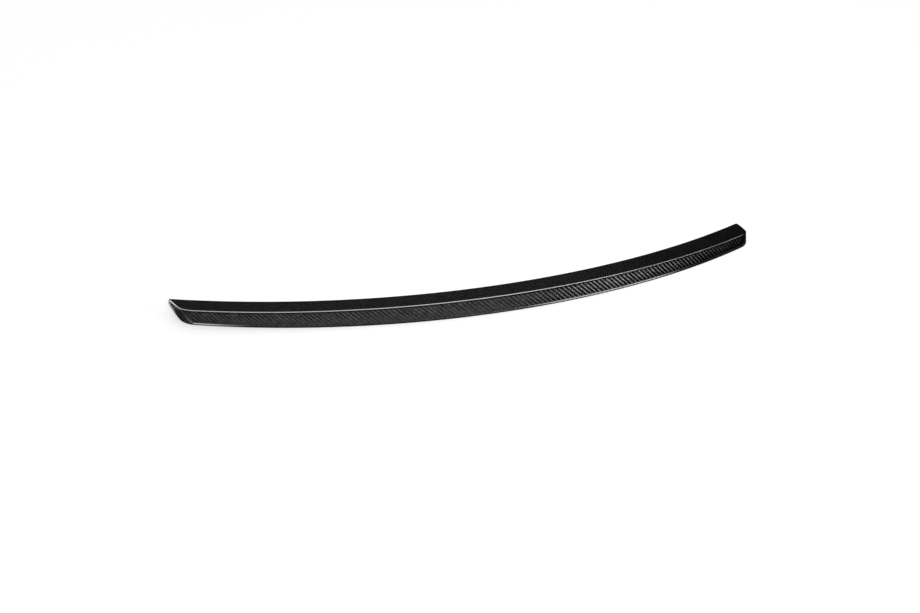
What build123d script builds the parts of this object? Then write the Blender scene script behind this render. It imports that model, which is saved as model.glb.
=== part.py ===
from build123d import *
import os
from math import cos, radians, sqrt, tan

# Boot lid lip spoiler: one thin moulded skin, open underneath.
# Millimetres. X runs along the length, +Y towards the front of the car, +Z up.
# The origin is in the middle of the rear wall's seat, on the bonding plane.

# Plan outline: four arcs that meet at two rear corners and two front tips
length = 1100.0
depth = 85.0
rear_radius = 1305.0
front_radius = 1430.0
end_sweep = 32.0
end_radius = 680.0
corner_radius = 45.0
tip_radius = 2.5

# Section through the skin
top_slope = 18.9
front_edge = 2.0
skin = 2.0
front_land = 8.0
ridge_radius = 1.5
hollow_radius = 2.0
hollow_tip_radius = 4.0

# Flared foot along the rear wall and the ends
foot_width = 3.0
foot_edge = 1.2
foot_flare = 1.8
foot_stop = 10.0

# Centres of the arcs, seen from above, with the right-hand corner and tip
rear_centre = Vector(0, rear_radius)
front_centre = Vector(0, depth + front_radius)
tip_x = length / 2
corner_x = tip_x - end_sweep
corner = Vector(corner_x, rear_radius - sqrt(rear_radius**2 - corner_x**2))
tip = Vector(tip_x, front_centre.Y - sqrt(front_radius**2 - tip_x**2))
end_chord = tip - corner
end_offset = sqrt(end_radius**2 - (end_chord.length / 2) ** 2)
end_centre = (corner + tip) / 2 + end_chord.rotate(Axis.Z, 90).normalized() * end_offset

# The top skin is part of a cone that rises backwards from the front edge
cone_axis = Axis((0, front_centre.Y, 0), (0, 0, 1))
rise = tan(radians(top_slope))
skin_drop = skin / cos(radians(top_slope))
reach = depth + tip.Y
blank_height = front_edge + rise * reach

# The roundings take at most these shares of the wall or the corner that they run along
wall_share = 0.65
corner_share = 0.9
hollow_front_height = front_edge + rise * front_land - skin_drop
ridge_fillet = min(ridge_radius, wall_share * front_edge, corner_share * tip_radius)
hollow_fillet = min(hollow_radius, wall_share * hollow_front_height, corner_share * hollow_tip_radius)
foot_fillet = min(foot_flare, corner_share * foot_width)


def crossing(first_centre, first_radius, second_centre, second_radius):
    """Right-hand point where two circles of the plan cross."""
    gap = second_centre - first_centre
    along = (gap.length**2 + first_radius**2 - second_radius**2) / (2 * gap.length)
    across = sqrt(first_radius**2 - along**2)
    direction = gap.normalized()
    return first_centre + direction * along + direction.rotate(Axis.Z, 90) * across


def outline(inset, setback):
    """Plan outline, drawn in by inset at the rear and the ends and by setback in front."""
    rear_corner = crossing(rear_centre, rear_radius - inset, end_centre, end_radius - inset)
    front_tip = crossing(front_centre, front_radius + setback, end_centre, end_radius - inset)
    left_corner = (-rear_corner.X, rear_corner.Y)
    left_tip = (-front_tip.X, front_tip.Y)
    with BuildSketch() as sketch:
        with BuildLine():
            ThreePointArc(left_corner, (0, inset), rear_corner)
            RadiusArc(rear_corner, front_tip, inset - end_radius)
            ThreePointArc(front_tip, (0, depth - setback), left_tip)
            RadiusArc(left_tip, left_corner, inset - end_radius)
        make_face()
        fillet(sketch.vertices().group_by(Axis.Y)[0], corner_radius - inset)
    return sketch.sketch


def below_top_skin(drop):
    """Profile of all that lies under the top face, lowered by drop."""
    with BuildSketch(Plane.YZ) as profile:
        with BuildLine():
            Polyline(
                (depth + reach, -reach),
                (depth + reach, front_edge - drop - rise * reach),
                (depth - reach, front_edge - drop + rise * reach),
                (depth - reach, -reach),
                close=True,
            )
        make_face()
    return profile.sketch


# Space inside the skin, open at the bonding plane and closed off by the front land
with BuildSketch() as hollow_plan:
    add(outline(skin, front_land))
    fillet(hollow_plan.vertices().group_by(Axis.Y)[-1], hollow_tip_radius)

with BuildPart() as hollow:
    extrude(hollow_plan.sketch, amount=blank_height)
    revolve(below_top_skin(skin_drop), axis=cone_axis, mode=Mode.INTERSECT)
    fillet(hollow.faces().filter_by(GeomType.CONE).edges(), hollow_fillet)

# The lip: upright walls cut off by the sloping top, a rounded rim, the foot and the hollow
with BuildSketch() as plan:
    add(outline(0, 0))
    fillet(plan.vertices().group_by(Axis.Y)[-1], tip_radius)

with BuildPart() as spoiler_lip:
    extrude(plan.sketch, amount=blank_height)
    revolve(below_top_skin(0), axis=cone_axis, mode=Mode.INTERSECT)
    fillet(spoiler_lip.faces().filter_by(GeomType.CONE).edges(), ridge_fillet)
    extrude(outline(-foot_width, foot_stop), amount=foot_edge)
    foot_root = spoiler_lip.edges(Select.NEW).filter_by_position(Axis.Z, foot_edge, foot_edge)
    fillet(foot_root, foot_fillet)
    add(hollow.part, mode=Mode.SUBTRACT)

os.makedirs("parts", exist_ok=True)
spoiler_lip.part.label = "spoiler_lip"
export_step(spoiler_lip.part, "parts/spoiler_lip.step")
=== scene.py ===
from math import atan, atan2, copysign, cos, hypot, pi, radians, sin, sqrt, tan

import bmesh
import bpy
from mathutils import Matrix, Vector


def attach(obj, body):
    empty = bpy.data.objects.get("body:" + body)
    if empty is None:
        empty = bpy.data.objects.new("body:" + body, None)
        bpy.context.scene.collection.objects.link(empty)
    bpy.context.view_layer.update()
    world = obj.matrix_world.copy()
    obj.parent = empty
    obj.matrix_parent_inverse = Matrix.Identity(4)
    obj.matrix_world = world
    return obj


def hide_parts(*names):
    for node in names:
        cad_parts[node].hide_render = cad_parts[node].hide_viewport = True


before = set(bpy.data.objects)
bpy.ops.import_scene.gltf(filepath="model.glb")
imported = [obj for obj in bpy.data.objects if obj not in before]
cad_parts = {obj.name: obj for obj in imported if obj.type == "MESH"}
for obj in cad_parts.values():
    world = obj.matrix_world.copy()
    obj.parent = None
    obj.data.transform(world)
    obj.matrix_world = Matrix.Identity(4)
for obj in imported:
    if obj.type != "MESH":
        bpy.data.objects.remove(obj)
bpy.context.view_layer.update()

# Metres throughout. X runs along the lip, +Y towards the front of the car, +Z up.

# Plan of the lip: a rear arc, a rounded corner, a swept end, a small tip and a front arc on each side
length = 1.1
depth = 0.085
rear_radius = 1.305
front_radius = 1.43
end_sweep = 0.032
end_radius = 0.68
corner_radius = 0.045
tip_radius = 0.0025

# Section: a sloping top, a rounded rim, an upright wall and a flared foot
top_slope = radians(18.9)
front_edge = 0.00198
rim_radius = 0.0013
foot_width = 0.00288
foot_edge = 0.0012
foot_flare = 0.0018

# The foot starts this far behind the front edge and widens over this distance
foot_stop = 0.004
foot_fade = 0.006

# The foot's flare turns into a straight slope as the wall turns sideways, between these shares
slope_from = 0.5
slope_to = 0.8

# Hollow under the skin
skin = 0.002
front_land = 0.008
hollow_radius = 0.0015
hollow_tip_radius = 0.004

# Divisions of the mesh along each arc, across the top and round each rounding
rear_steps = 150
corner_steps = 18
end_steps = 22
tip_steps = 6
top_rows = 8
round_steps = 6

# Steps from the middle of the rear wall to the middle of the tip
nose_order = rear_steps + corner_steps + end_steps + tip_steps

# Vertices closer than these are merged, and edges bent more than this stay sharp
mirror_merge = 1e-5
merge = 5e-6
sharp_angle = radians(35)

rise = tan(top_slope)
skin_drop = skin / cos(top_slope)


def within(share):
    """The share, kept between 0 and 1."""
    return min(max(share, 0), 1)


def sideways(vector):
    """The plan vector turned a quarter turn to the left."""
    return Vector((-vector.y, vector.x, 0))


def on_circle(centre, through, radius):
    """The point of a plan circle in the direction of another point."""
    return centre + (through - centre).normalized() * radius


def crossing(first_centre, first_radius, second_centre, second_radius):
    """Right-hand point where two circles of the plan cross."""
    gap = second_centre - first_centre
    along = (gap.length_squared + first_radius**2 - second_radius**2) / (2 * gap.length)
    across = sqrt(first_radius**2 - along**2)
    direction = gap.normalized()
    return first_centre + direction * along + sideways(direction) * across


# Centres of the arcs, seen from above, with the right-hand corner and tip
rear_centre = Vector((0, rear_radius, 0))
front_centre = Vector((0, depth + front_radius, 0))
tip_x = length / 2
corner_x = tip_x - end_sweep
corner = Vector((corner_x, rear_radius - sqrt(rear_radius**2 - corner_x**2), 0))
tip = Vector((tip_x, front_centre.y - sqrt(front_radius**2 - tip_x**2), 0))
end_chord = tip - corner
end_offset = sqrt(end_radius**2 - end_chord.length_squared / 4)
end_centre = (corner + tip) / 2 + sideways(end_chord).normalized() * end_offset
corner_centre = crossing(rear_centre, rear_radius - corner_radius, end_centre, end_radius - corner_radius)


def behind_front(point):
    """Distance of a point behind the front edge, towards the rear wall."""
    return hypot(point.x, front_centre.y - point.y) - front_radius


def top_height(point):
    """Height of the sloping top, which is part of a cone about the front arc's centre."""
    return front_edge + rise * behind_front(point)


def add_object(name, data):
    """Adds an object to the scene, at the origin."""
    added = bpy.data.objects.new(name, data)
    bpy.context.scene.collection.objects.link(added)
    return added


def add_mesh(name, mesh):
    """Hands a finished mesh over to a new object."""
    data = bpy.data.meshes.new(name)
    mesh.to_mesh(data)
    mesh.free()
    return add_object(name, data)


class Skin:
    """The lip's skin, grown ring by ring on one half of the plan and then mirrored."""

    def __init__(self):
        self.mesh = bmesh.new()
        corners = self.mesh.verts.layers
        self.order = corners.int.new("order")
        self.seat = corners.float_vector.new("seat")
        self.outward = corners.float_vector.new("outward")
        self.station = corners.float.new("station")
        self.climb = corners.float.new("climb")
        self.ridge_gap = corners.float.new("ridge_gap")
        self.flat_cloth = self.mesh.faces.layers.int.new("flat_cloth")

    def plan_line(self, inset, setback, nose_radius):
        """Half the plan outline, from the rear wall's middle round the tip to the front edge's middle."""
        end = end_radius - inset
        front = front_radius + setback
        nose_centre = crossing(front_centre, front + nose_radius, end_centre, end - nose_radius)
        rear_stop = on_circle(rear_centre, corner_centre, rear_radius - inset)
        # Each arc: its centre, its stop, its steps, and 1 where outward is away from the centre or else -1
        arcs = [
            (rear_centre, rear_stop, rear_steps, 1),
            (corner_centre, on_circle(end_centre, corner_centre, end), corner_steps, 1),
            (end_centre, on_circle(end_centre, nose_centre, end), end_steps, 1),
            (nose_centre, on_circle(front_centre, nose_centre, front), 2 * tip_steps, 1),
            (front_centre, on_circle(front_centre, rear_stop, front), corner_steps + end_steps, -1),
            (front_centre, Vector((0, depth - setback, 0)), rear_steps, -1),
        ]
        vertex = self.mesh.verts.new((0, inset, 0))
        vertex[self.seat] = vertex.co
        vertex[self.outward] = (0, -1, 0)
        edges_before = len(self.mesh.edges)
        for centre, stop, steps, side in arcs:
            first = vertex.co - centre
            last = stop - centre
            angle = atan2(first.cross(last).z, first.dot(last))
            step = abs(angle) * first.length / steps
            for _ in range(steps):
                order = vertex[self.order] + 1
                reached = vertex[self.station] + step
                turned = bmesh.ops.spin(
                    self.mesh, geom=[vertex], cent=centre, axis=(0, 0, 1), angle=angle / steps, steps=1
                )
                vertex = next(part for part in turned["geom_last"] if isinstance(part, bmesh.types.BMVert))
                vertex[self.order] = order
                vertex[self.station] = reached
                vertex[self.seat] = vertex.co
                vertex[self.outward] = (vertex.co - centre).normalized() * side
        self.mesh.edges.ensure_lookup_table()
        return self.mesh.edges[edges_before:]

    def put(self, vertex, out, height, climb):
        """Places a vertex out from its seat on the plan, at a height; climb is its way up the section."""
        vertex.co = vertex[self.seat] + vertex[self.outward] * out
        vertex.co.z = height
        vertex[self.climb] = climb

    def grow(self, edges, finish, place, *settings):
        """Adds a ring of faces along the edges, with its far side where place puts each vertex."""
        grown = bmesh.ops.extrude_edge_only(self.mesh, edges=edges)["geom"]
        for part in grown:
            if isinstance(part, bmesh.types.BMVert):
                place(part, *settings)
            if isinstance(part, bmesh.types.BMFace):
                part.material_index = finish
        return [part for part in grown if isinstance(part, bmesh.types.BMEdge)]

    def rim_start(self, vertex, drop, radius):
        """Height at which the rounding of the rim leaves the wall, and the angle it turns through."""
        away = (vertex[self.seat] - front_centre).normalized()
        lean = atan(rise * away.dot(vertex[self.outward]))
        start = top_height(vertex[self.seat]) - drop - radius * (tan(lean) + 1 / cos(lean))
        return start, pi / 2 + lean

    def rim(self, vertex, share, drop, radius):
        """A vertex on the rounding between the wall and the top; share runs from the wall to the top."""
        start, turn = self.rim_start(vertex, drop, radius)
        angle = share * turn
        self.put(vertex, radius * (cos(angle) - 1), start + radius * sin(angle), start + radius * angle)

    def measure_ridge(self, edges):
        """Notes each vertex's way down the section from the ridge; the front edge counts as far from it."""
        for vertex in self.mesh.verts:
            start, turn = self.rim_start(vertex, 0, rim_radius)
            vertex[self.ridge_gap] = start + rim_radius * turn / 2 - vertex[self.climb]
        ring = {vertex[self.order]: vertex for edge in edges for vertex in edge.verts}
        for vertex in self.mesh.verts:
            if vertex[self.order] > nose_order:
                opposite = ring[2 * nose_order - vertex[self.order]]
                vertex[self.ridge_gap] = -(vertex[self.seat] - opposite[self.seat]).length

    def close_top(self, edges, drop, finish):
        """Fills the ring's inside with the sloping top."""
        apex = next(vertex for edge in edges for vertex in edge.verts if vertex[self.order] == nose_order)
        apex_edges = [edge for edge in edges if apex in edge.verts]
        rails = [edge for edge in edges if apex not in edge.verts]
        strip = bmesh.ops.bridge_loops(self.mesh, edges=rails)
        nose_corners = [apex] + [edge.other_vert(apex) for edge in apex_edges]
        nose = bmesh.ops.contextual_create(self.mesh, geom=nose_corners)
        for face in strip["faces"] + nose["faces"]:
            face[self.flat_cloth] = 1
            face.material_index = finish
        cross = [edge for edge in strip["edges"] if edge not in rails]
        rows = bmesh.ops.subdivide_edges(self.mesh, edges=cross, cuts=top_rows - 1)
        for part in rows["geom_inner"]:
            if isinstance(part, bmesh.types.BMVert):
                part.co.z = top_height(part.co) - drop

    def foot(self, vertex):
        """Width of the foot at a vertex: none along the front edge, running out beside the tips."""
        return foot_width * within((behind_front(vertex[self.seat]) - foot_stop) / foot_fade)

    def foot_top(self, vertex):
        """A vertex on the foot's upper edge."""
        self.put(vertex, self.foot(vertex), foot_edge, foot_edge - self.foot(vertex))

    def flare(self, vertex, share):
        """A vertex on the hollow rounding from the foot into the wall; at the ends it is a straight slope."""
        small = self.foot(vertex) * foot_flare / foot_width
        tall = self.rim_start(vertex, 0, rim_radius)[0] - foot_edge
        turn = share * pi / 2
        sloped = within((abs(vertex[self.outward].x) - slope_from) / (slope_to - slope_from))
        out = small * (1 - sin(turn)) * (1 - sloped) + self.foot(vertex) * (1 - share) * sloped
        up = small * (1 - cos(turn)) * (1 - sloped) + tall * share * sloped + foot_edge
        self.put(vertex, out, up, up)

    def outside(self, finish):
        """Foot, wall, rim and top, from the bonding plane up."""
        base = self.plan_line(0, 0, tip_radius)
        for vertex in {vertex for edge in base for vertex in edge.verts}:
            self.put(vertex, self.foot(vertex), 0, -self.foot(vertex))
        ring = self.grow(base, finish, self.foot_top)
        for step in range(round_steps + 1):
            ring = self.grow(ring, finish, self.flare, step / round_steps)
        for step in range(round_steps + 1):
            ring = self.grow(ring, finish, self.rim, step / round_steps, 0, rim_radius)
        self.measure_ridge(ring)
        self.close_top(ring, 0, finish)
        return base

    def inside(self, finish):
        """Walls, rounding and roof of the hollow, from the bonding plane up."""
        base = self.plan_line(skin, front_land, hollow_tip_radius)
        ring = base
        for step in range(round_steps + 1):
            ring = self.grow(ring, finish, self.rim, step / round_steps, skin_drop, hollow_radius)
        self.close_top(ring, skin_drop, finish)
        return base

    def seat_faces(self, outer_base, hollow_base, finish):
        """Closes the skin along the bonding plane."""
        for face in bmesh.ops.bridge_loops(self.mesh, edges=outer_base + hollow_base)["faces"]:
            face[self.flat_cloth] = 1
            face.material_index = finish

    def lay_cloth(self):
        """Maps the cloth in metres: round the plan and up the section, but about the cone on flat faces."""
        cloth = self.mesh.loops.layers.uv.new("cloth")
        for face in self.mesh.faces:
            side = face.calc_center_median().x
            for corner_loop in face.loops:
                vertex = corner_loop.vert
                across = vertex[self.climb]
                along = copysign(vertex[self.station], side)
                if face[self.flat_cloth]:
                    along = atan2(vertex.co.x, front_centre.y - vertex.co.y) * front_centre.y
                    across = (depth - behind_front(vertex.co)) / cos(top_slope)
                corner_loop[cloth].uv = (along, across)

    def finished(self, name):
        """Mirrors the half, merges it, lays the cloth on it and hands over the object."""
        mesh = self.mesh
        half = mesh.verts[:] + mesh.edges[:] + mesh.faces[:]
        bmesh.ops.mirror(mesh, geom=half, axis="X", merge_dist=mirror_merge)
        bmesh.ops.remove_doubles(mesh, verts=mesh.verts, dist=merge)
        bmesh.ops.dissolve_degenerate(mesh, edges=mesh.edges, dist=merge)
        bmesh.ops.recalc_face_normals(mesh, faces=mesh.faces)
        self.lay_cloth()
        for face in mesh.faces:
            face.smooth = True
        for edge in mesh.edges:
            edge.smooth = edge.calc_face_angle(0) < sharp_angle
        return add_mesh(name, mesh)


# Places of the two finishes in the piece's list of materials
GLOSS, BACK = 0, 1

lip = Skin()
outer_base = lip.outside(GLOSS)
hollow_base = lip.inside(BACK)
lip.seat_faces(outer_base, hollow_base, BACK)
piece = lip.finished("lip_skin")
piece.modifiers.new("even_shading", "WEIGHTED_NORMAL").keep_sharp = True
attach(piece, "root")
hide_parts("spoiler_lip")


class Socket:
    """A node's output. Maths on it adds Math nodes to its tree."""

    def __init__(self, tree, output):
        self.tree = tree
        self.output = output

    def math(self, operation, *others):
        """A Math node on this value and others."""
        return self.tree.node("ShaderNodeMath", {"operation": operation}, [self, *others])

    def __add__(self, other):
        return self.math("ADD", other)

    def __sub__(self, other):
        return self.math("SUBTRACT", other)

    def __mul__(self, other):
        return self.math("MULTIPLY", other)

    def __truediv__(self, other):
        return self.math("DIVIDE", other)

    def __mod__(self, other):
        return self.math("FLOORED_MODULO", other)

    def __lt__(self, other):
        return self.math("LESS_THAN", other)

    def __rsub__(self, other):
        return self * -1 + other

    __radd__ = __add__
    __rmul__ = __mul__

    def ramp(self, low, high):
        """Smooth step from 0 at low to 1 at high."""
        return self.tree.node("ShaderNodeMapRange", {"interpolation_type": "SMOOTHSTEP"}, [self, low, high])

    def fall(self, low, high):
        """Smooth step from 1 at low to 0 at high."""
        return 1 - self.ramp(low, high)

    def band(self, rise_from, rise_to, fall_from, fall_to):
        """1 inside a band and 0 outside it, with smooth sides."""
        return self.ramp(rise_from, rise_to) * self.fall(fall_from, fall_to)

    def spread(self, amount):
        """A factor about 1 from a value between 0 and 1, with this much between its least and its most."""
        return self * amount + (1 - amount / 2)


class Tree:
    """A node tree that is written as expressions."""

    def __init__(self, owner):
        owner.use_nodes = True
        self.nodes = owner.node_tree.nodes
        self.links = owner.node_tree.links
        self.nodes.clear()

    def node(self, kind, settings, inputs, output=0):
        """Adds a node: its settings first, then its inputs by place or by name. Gives the named output."""
        made = self.nodes.new(kind)
        for name, value in settings.items():
            setattr(made, name, value)
        pairs = inputs.items() if isinstance(inputs, dict) else enumerate(inputs)
        for key, value in pairs:
            if isinstance(value, Socket):
                self.links.new(value.output, made.inputs[key])
            else:
                made.inputs[key].default_value = value
        return Socket(self, made.outputs[output]) if made.outputs else made

    def mix(self, first, second, share):
        """first where share is 0, second where it is 1."""
        return share * (second - first) + first

    def part(self, vector, axis):
        """One axis of a vector."""
        return self.node("ShaderNodeSeparateXYZ", {}, [vector], axis)

    def trait(self, name):
        """A value that the mesh carries at each vertex."""
        return self.node("ShaderNodeAttribute", {"attribute_name": name}, [], "Fac")

    def grey(self, level):
        """A grey of the given level."""
        return self.node("ShaderNodeCombineColor", {}, [level, level, level])


# Twill cloth: each tow passes over two and under two, one step on in each row
tow = 0.00208
tows_over = 2
tows_repeat = 2 * tows_over

# Slope of a tow's round sides and of its dive under the next tows, and the share of its width that is edge
crown = 0.45
crimp = 0.1
tow_edge = 0.16

# Width of the streaks along a tow, and size and contrast of the patches where the cloth looks flatter
fibre = 0.00012
streak_detail = 1.0
patch_scale = 75.0
patch_contrast = (0.4, 0.6)


class Weave:
    """The twill on the piece's own UV map. Warp tows run along the lip, weft tows across it."""

    def __init__(self, tree):
        self.tree = tree
        cloth = tree.node("ShaderNodeUVMap", {"uv_map": "cloth"}, [])
        along = tree.part(cloth, "X") / tow
        across = tree.part(cloth, "Y") / tow
        column = along.math("FLOOR")
        row = across.math("FLOOR")
        in_column = along - column
        in_row = across - row
        phase = (column + row) % tows_repeat
        self.warp = phase < tows_over

        side = tree.mix(in_column, in_row, self.warp)
        ride = tree.mix(phase - tows_over + in_row, phase + in_column, self.warp) * (pi / tows_over)
        self.crest = ride.math("SINE")
        self.edge = side.math("MINIMUM", 1 - side).fall(0.0, tow_edge)
        self.tilt = self.tilted(side, ride)

        # Each tow has its own number, odd for weft and even for warp
        number = tree.mix(column * 2 + 1, row * 2, self.warp)
        turn = ((column + row) / tows_repeat).math("FLOOR")
        one_pass = tree.node("ShaderNodeCombineXYZ", {}, [number, turn])
        self.batch = tree.node("ShaderNodeTexWhiteNoise", {"noise_dimensions": "2D"}, {"Vector": one_pass})
        strand = tree.mix(along, across, self.warp) * (tow / fibre)
        strands = tree.node("ShaderNodeCombineXYZ", {}, [strand, number])
        self.streak = self.noise({"Vector": strands, "Detail": streak_detail})
        patches = self.noise({"Vector": cloth, "Scale": patch_scale, "Detail": 0.0})
        self.patch = patches.ramp(*patch_contrast)

    def noise(self, inputs):
        """Smooth noise over the cloth."""
        return self.tree.node("ShaderNodeTexNoise", {"noise_dimensions": "2D"}, inputs)

    def tilted(self, side, ride):
        """Tilt of a tow as a normal map's colour: round across its width, bent where it dives under."""
        tree = self.tree
        rounded = (side * pi).math("COSINE") * -crown
        bent = ride.math("COSINE") * -crimp
        tilt_x = tree.mix(rounded, bent, self.warp)
        tilt_y = tree.mix(bent, rounded, self.warp)
        return tree.node("ShaderNodeCombineXYZ", {}, [tilt_x * 0.5 + 0.5, tilt_y * 0.5 + 0.5, 1.0])

    def normal(self, strength):
        """Normal of the tows, at full tilt where strength is 1 and smooth where it is 0."""
        inputs = {"Strength": strength, "Color": self.tilt}
        return self.tree.node("ShaderNodeNormalMap", {"space": "TANGENT", "uv_map": "cloth"}, inputs)


# Below, a pair gives the start and the end of a smooth change, and a four gives those of a band's two sides.
# Stations run from the middle of the rear wall round the plan, and climbs run up the section from the foot.

# The top by its normal's upward share, the left half by X, the tips by station, the low wall by climb
top_facing = (0.6, 0.9)
middle = (-0.1, 0.1)
tip_bend = (0.555, 0.585)
low_wall = (0.003, 0.02)

# Painted highlight along the ridge: its width, how it fades to the right, where it stops and its small breaks
ridge_band = 0.0009
ridge_tip_widening = 0.6
ridge_fading = (-0.1, 0.45)
ridge_fade = 0.7
ridge_right_stop = (0.495, 0.515)
ridge_tip_stop = (0.610, 0.618)
break_scale = 120.0
break_height = 0.9
break_floor = 0.6

# Painted shade on the cloth on both sides of the ridge line, and a painted gleam in it at the left corner
ridge_shade_edge = 0.0056
gleam_stations = (0.535, 0.55, 0.57, 0.59)
gleam = 0.25

# Painted highlight on the line where the end's cloth laps over the wall's, with painted shade beside it: its
# station at the foot, its width and its fading upwards
lap_station = 0.518
lap_width = (0.0004, 0.0010)
lap_foot = 0.5
lap_head = 0.15
lap_climb = (0.0, 0.016)
lap_right_stop = (0.3, 0.4)
lap_shade_offset = 0.0016
lap_shade_width = (0.0005, 0.0012)
lap_blend = 0.001

# Painted highlight on the foot: along the left, right of the middle, everywhere, and a painted reflection
# beside the left tip
foot_climb = (-0.0012, -0.0002, 0.0018, 0.0026)
foot_left_reach = (-0.515, -0.40)
foot_left = 1.3
foot_right_reach = (0.0, 0.1, 0.28, 0.37)
foot_right = 0.65
foot_least = 0.07
foot_end = (lap_station - lap_blend, lap_station + lap_blend)
foot_tip_stations = (0.56, 0.58, 0.612, 0.62)
foot_tip_climb = (0.0035, 0.0055)
foot_tip = 0.5

# Greys of the painted highlights along the lip and at the tips
highlight_grey = 0.4
tip_highlight_grey = 0.68

# Greys of the warp at the left and the right, and of the weft: outside and inside patches at the left,
# high and low on the wall at the right. The changes between left and right and between high and low are
# painted highlight and shade
right_turn = (0.1, 0.3)
warp_high = (0.0896, 0.063)
warp_low = (0.0714, 0.0266)
weft_turn = (-0.05, 0.12)
weft_left = (0.023, 0.044)
weft_right = (0.017, 0.005)

# Painted shade: the cloth gets darker towards the right end, in two stretches
dim_right = (0.18, 0.44)
dim_right_loss = 0.64
dim_end = (0.44, 0.53)
dim_end_loss = 0.10

# How far the cloth's grey varies over a tow, between tows, along fibres, at a tow's edge and by place, where
# the place terms are a painted lift on the top and painted shade beside the ridge and the lap
crest_share = 0.95
batch_spread = 0.7
streak_spread = 0.6
edge_loss = 0.7
top_gain = 0.15
ridge_shade_loss = (0.9, 0.55)
lap_shade_loss = 0.7

# Gloss: the coat shows the pale floor and surround on the left half, most of all low on the wall
coat_facing = (0.7, 0.84)
coat_reach = (-0.02, 0.12)
coat_ridge_loss = 0.8
coat_high = 0.1
coat_low = 0.4
coat_end = 0.05
coat_least = 0.01
coat_roughness = 0.03
cloth_roughness = 0.22
streak_roughness = 0.1


class Place:
    """Where a point lies on the lip's outside."""

    def __init__(self, tree):
        normal = tree.node("ShaderNodeNewGeometry", {}, [], "Normal")
        self.on_top = tree.part(normal, "Z").ramp(*top_facing)
        self.on_wall = 1 - self.on_top
        self.along = tree.part(tree.node("ShaderNodeTexCoord", {}, [], "Object"), "X")
        self.on_left = self.along.fall(*middle)
        self.station = tree.trait("station")
        self.at_tip = self.station.ramp(*tip_bend)
        self.climb = tree.trait("climb")
        self.low = self.climb.fall(*low_wall)
        self.ridge_gap = tree.trait("ridge_gap").math("ABSOLUTE") / (self.at_tip * ridge_tip_widening + 1)
        # Painted shade on the cloth beside the ridge line
        self.ridge_shade = self.ridge_gap.fall(2 * ridge_band, ridge_shade_edge)
        self.past_lap = self.station - self.climb - lap_station
        self.end_cloth = self.past_lap.ramp(0.0, lap_blend) * self.on_wall


def ridge_highlight(tree, place):
    """Share of painted highlight along the ridge."""
    line = place.ridge_gap.fall(ridge_band / 2, ridge_band)
    line = line * (1 - place.along.ramp(*ridge_fading) * ridge_fade)
    line = line * place.along.fall(*ridge_right_stop) * place.station.fall(*ridge_tip_stop)
    inputs = {"W": place.along, "Scale": break_scale}
    breaks = tree.node("ShaderNodeTexNoise", {"noise_dimensions": "1D"}, inputs)
    return line * (breaks * break_height + break_floor).math("MINIMUM", 1.0)


def corner_gleam(place):
    """Share of painted gleam under the ridge at the left corner."""
    reach = place.station.band(*gleam_stations) * place.on_left
    return reach * place.ridge_shade * place.on_wall * gleam


def foot_highlight(place):
    """Share of painted highlight on the foot, with a painted reflection beside the left tip."""
    left = place.along.fall(*foot_left_reach) * foot_left
    right = place.along.band(*foot_right_reach) * foot_right
    line = (left + right + foot_least) * place.climb.band(*foot_climb) * place.station.fall(*foot_end)
    tip_line = place.station.band(*foot_tip_stations) * place.climb.fall(*foot_tip_climb) * place.on_left
    return line.math("MAXIMUM", tip_line * foot_tip).math("MINIMUM", 1.0)


def lap_highlight(tree, place):
    """Share of painted highlight on the line where two cloths lap."""
    line = place.past_lap.math("ABSOLUTE").fall(*lap_width) * place.on_wall
    fading = tree.mix(lap_foot, lap_head, place.climb.ramp(*lap_climb))
    return line * fading * place.along.fall(*lap_right_stop)


def cloth_grey(tree, place, weave):
    """Grey of the cloth by its tows, with painted highlight and shade by where it lies."""
    # Painted highlight and shade on the tows: their greys change between left and right and between high and
    # low on the wall
    right = place.along.ramp(*right_turn)
    warp = tree.mix(tree.mix(*warp_high, right), tree.mix(*warp_low, right), place.low)
    left_weft = tree.mix(*weft_left, weave.patch)
    right_weft = tree.mix(*weft_right, place.low)
    weft = tree.mix(left_weft, right_weft, place.along.ramp(*weft_turn))
    tows = tree.mix(weft, warp, weave.warp) * (weave.crest * crest_share + (1 - crest_share))
    tows = tows * weave.batch.spread(batch_spread) * weave.streak.spread(streak_spread)
    tows = tows * (1 - weave.edge * edge_loss)

    # Painted shade darkening the cloth towards the right end
    dimmer = 1 - place.along.ramp(*dim_right) * dim_right_loss - place.along.ramp(*dim_end) * dim_end_loss
    # Painted shade beside the ridge line
    painted_ridge_shade = place.ridge_shade * tree.mix(*ridge_shade_loss, place.on_left)
    # Painted shade beside the lap line
    painted_lap_shade = (place.past_lap + lap_shade_offset).math("ABSOLUTE").fall(*lap_shade_width)
    shades = (1 - painted_ridge_shade) * (1 - painted_lap_shade * lap_shade_loss)
    # A painted lift on the top faces
    return tows * dimmer * shades * (place.on_top * top_gain + 1)


def coat_weight(tree, place):
    """Weight of the gloss coat."""
    facing = 1 - tree.node("ShaderNodeLayerWeight", {}, [], "Facing")
    gloss = facing.ramp(*coat_facing) * place.along.fall(*coat_reach)
    gloss = gloss * (1 - place.ridge_shade * coat_ridge_loss)
    return gloss * tree.mix(coat_high, coat_low, place.low) + place.end_cloth * coat_end + coat_least


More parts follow.
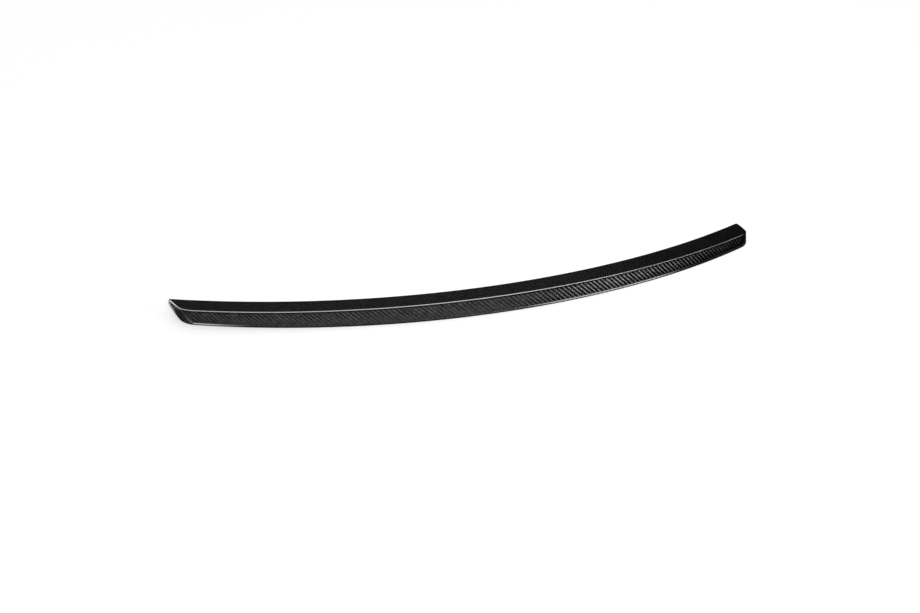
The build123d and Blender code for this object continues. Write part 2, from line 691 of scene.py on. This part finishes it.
def carbon_gloss():
    """Twill carbon cloth under a clear gloss coat, with painted highlight and shade on the cloth by place,
    painted highlights on the ridge, the foot and the lap, and a painted gleam at the left corner.
    """
    material = bpy.data.materials.new("carbon_gloss")
    tree = Tree(material)
    weave = Weave(tree)
    place = Place(tree)
    # Painted highlights on the ridge, the foot and the lap, and the painted gleam, gathered into one share
    painted_highlight = ridge_highlight(tree, place)
    for mark in (foot_highlight(place), lap_highlight(tree, place), corner_gleam(place)):
        painted_highlight = painted_highlight.math("MAXIMUM", mark)
    pale = tree.mix(highlight_grey, tip_highlight_grey, place.at_tip)
    body = tree.node(
        "ShaderNodeBsdfPrincipled",
        {},
        {
            "Base Color": tree.grey(tree.mix(cloth_grey(tree, place, weave), pale, painted_highlight)),
            "Metallic": 1 - painted_highlight,
            "Roughness": weave.streak * streak_roughness + cloth_roughness,
            "Specular Tint": (0, 0, 0, 1),
            "Normal": weave.normal(1 - painted_highlight),
            "Coat Weight": coat_weight(tree, place),
            "Coat Roughness": coat_roughness,
        },
    )
    tree.node("ShaderNodeOutputMaterial", {}, [body])
    return material


# Bare back of the laminate: greys of the weft and the warp
back_weft = 0.02
back_warp = 0.04
back_roughness = 0.6


def laminate_back():
    """Bare back of the laminate."""
    material = bpy.data.materials.new("laminate_back")
    tree = Tree(material)
    weave = Weave(tree)
    body = tree.node(
        "ShaderNodeBsdfPrincipled",
        {},
        {
            "Base Color": tree.grey(tree.mix(back_weft, back_warp, weave.warp)),
            "Roughness": back_roughness,
            "Normal": weave.normal(1.0),
        },
    )
    tree.node("ShaderNodeOutputMaterial", {}, [body])
    return material


piece.data.materials.append(carbon_gloss())
piece.data.materials.append(laminate_back())

# Stage: a white floor in a white surround, just clear of the lip's seat
floor_radius = 14
floor_sides = 64
floor_drop = 0.0002
floor_grey = 0.78
floor_glow = 0.21

floor_mesh = bmesh.new()
bmesh.ops.create_circle(floor_mesh, cap_ends=True, radius=floor_radius, segments=floor_sides)
bmesh.ops.translate(floor_mesh, verts=floor_mesh.verts, vec=(0, 0, -floor_drop))
floor = add_mesh("floor", floor_mesh)


def seen_directly(tree):
    """1 for rays from the camera, from gloss and through glass, and 0 for the rays that light things."""
    camera_ray = tree.node("ShaderNodeLightPath", {}, [], "Is Camera Ray")
    glossy_ray = tree.node("ShaderNodeLightPath", {}, [], "Is Glossy Ray")
    through_ray = tree.node("ShaderNodeLightPath", {}, [], "Is Transmission Ray")
    return (camera_ray + glossy_ray + through_ray).math("MINIMUM", 1.0)


def floor_white():
    """Pale floor that keeps the lip's shadow and is seen as white."""
    material = bpy.data.materials.new("floor_white")
    tree = Tree(material)
    lit = tree.node("ShaderNodeBsdfDiffuse", {}, {"Color": (floor_grey, floor_grey, floor_grey, 1)})
    glow = tree.node("ShaderNodeEmission", {}, {"Strength": seen_directly(tree) * floor_glow})
    both = tree.node("ShaderNodeAddShader", {}, [lit, glow])
    tree.node("ShaderNodeOutputMaterial", {}, [both])
    return material


floor.data.materials.append(floor_white())

world = bpy.data.worlds.new("surround")
bpy.context.scene.world = world
world_tree = Tree(world)
world_light = world_tree.node("ShaderNodeBackground", {}, {"Color": (1, 1, 1, 1), "Strength": 1.0})
world_tree.node("ShaderNodeOutputWorld", {}, [world_light])


def set_up(data, place, target):
    """Adds a lamp or a camera at a place, facing a point."""
    stand = add_object(data.name, data)
    stand.location = place
    stand.rotation_euler = (Vector(target) - Vector(place)).to_track_quat("-Z", "Y").to_euler()
    return stand


# Lamps: a low soft strip off the right end that brings out the tows there, and a soft spot from above
strip_place = (1.61, -0.89, 0.16)
strip_target = (0.515, 0.13, 0.02)
key_place = (0.35, -0.6, 1.6)
key_target = (0.12, 0, 0)

strip = bpy.data.lights.new("right_strip", "AREA")
strip.shape = "RECTANGLE"
strip.size = 1.8
strip.size_y = 0.28
strip.energy = 45
set_up(strip, strip_place, strip_target)

key = bpy.data.lights.new("key_spot", "SPOT")
key.energy = 30
key.spot_size = radians(37)
key.spot_blend = 0.35
key.shadow_soft_size = 0.2
set_up(key, key_place, key_target)

# Camera: matched to the photograph's frame, in pixels, with its optical axis a little off the middle
image_width = 920
image_height = 613
azimuth = radians(-15.987)
elevation = radians(29.925)
distance = 1.39312
target = Vector((0, 0.06, 0.015))
focal_pixels = 802.08
axis_x = 496.845
axis_y = 285.855

back = Vector((sin(azimuth) * cos(elevation), -cos(azimuth) * cos(elevation), sin(elevation)))
camera_data = bpy.data.cameras.new("camera")
camera_data.sensor_width = 36
camera_data.lens = camera_data.sensor_width * focal_pixels / image_width
camera_data.shift_x = (image_width / 2 - axis_x) / image_width
camera_data.shift_y = (axis_y - image_height / 2) / image_width
bpy.context.scene.camera = set_up(camera_data, target + back * distance, target)
bpy.context.scene.view_settings.view_transform = "Standard"
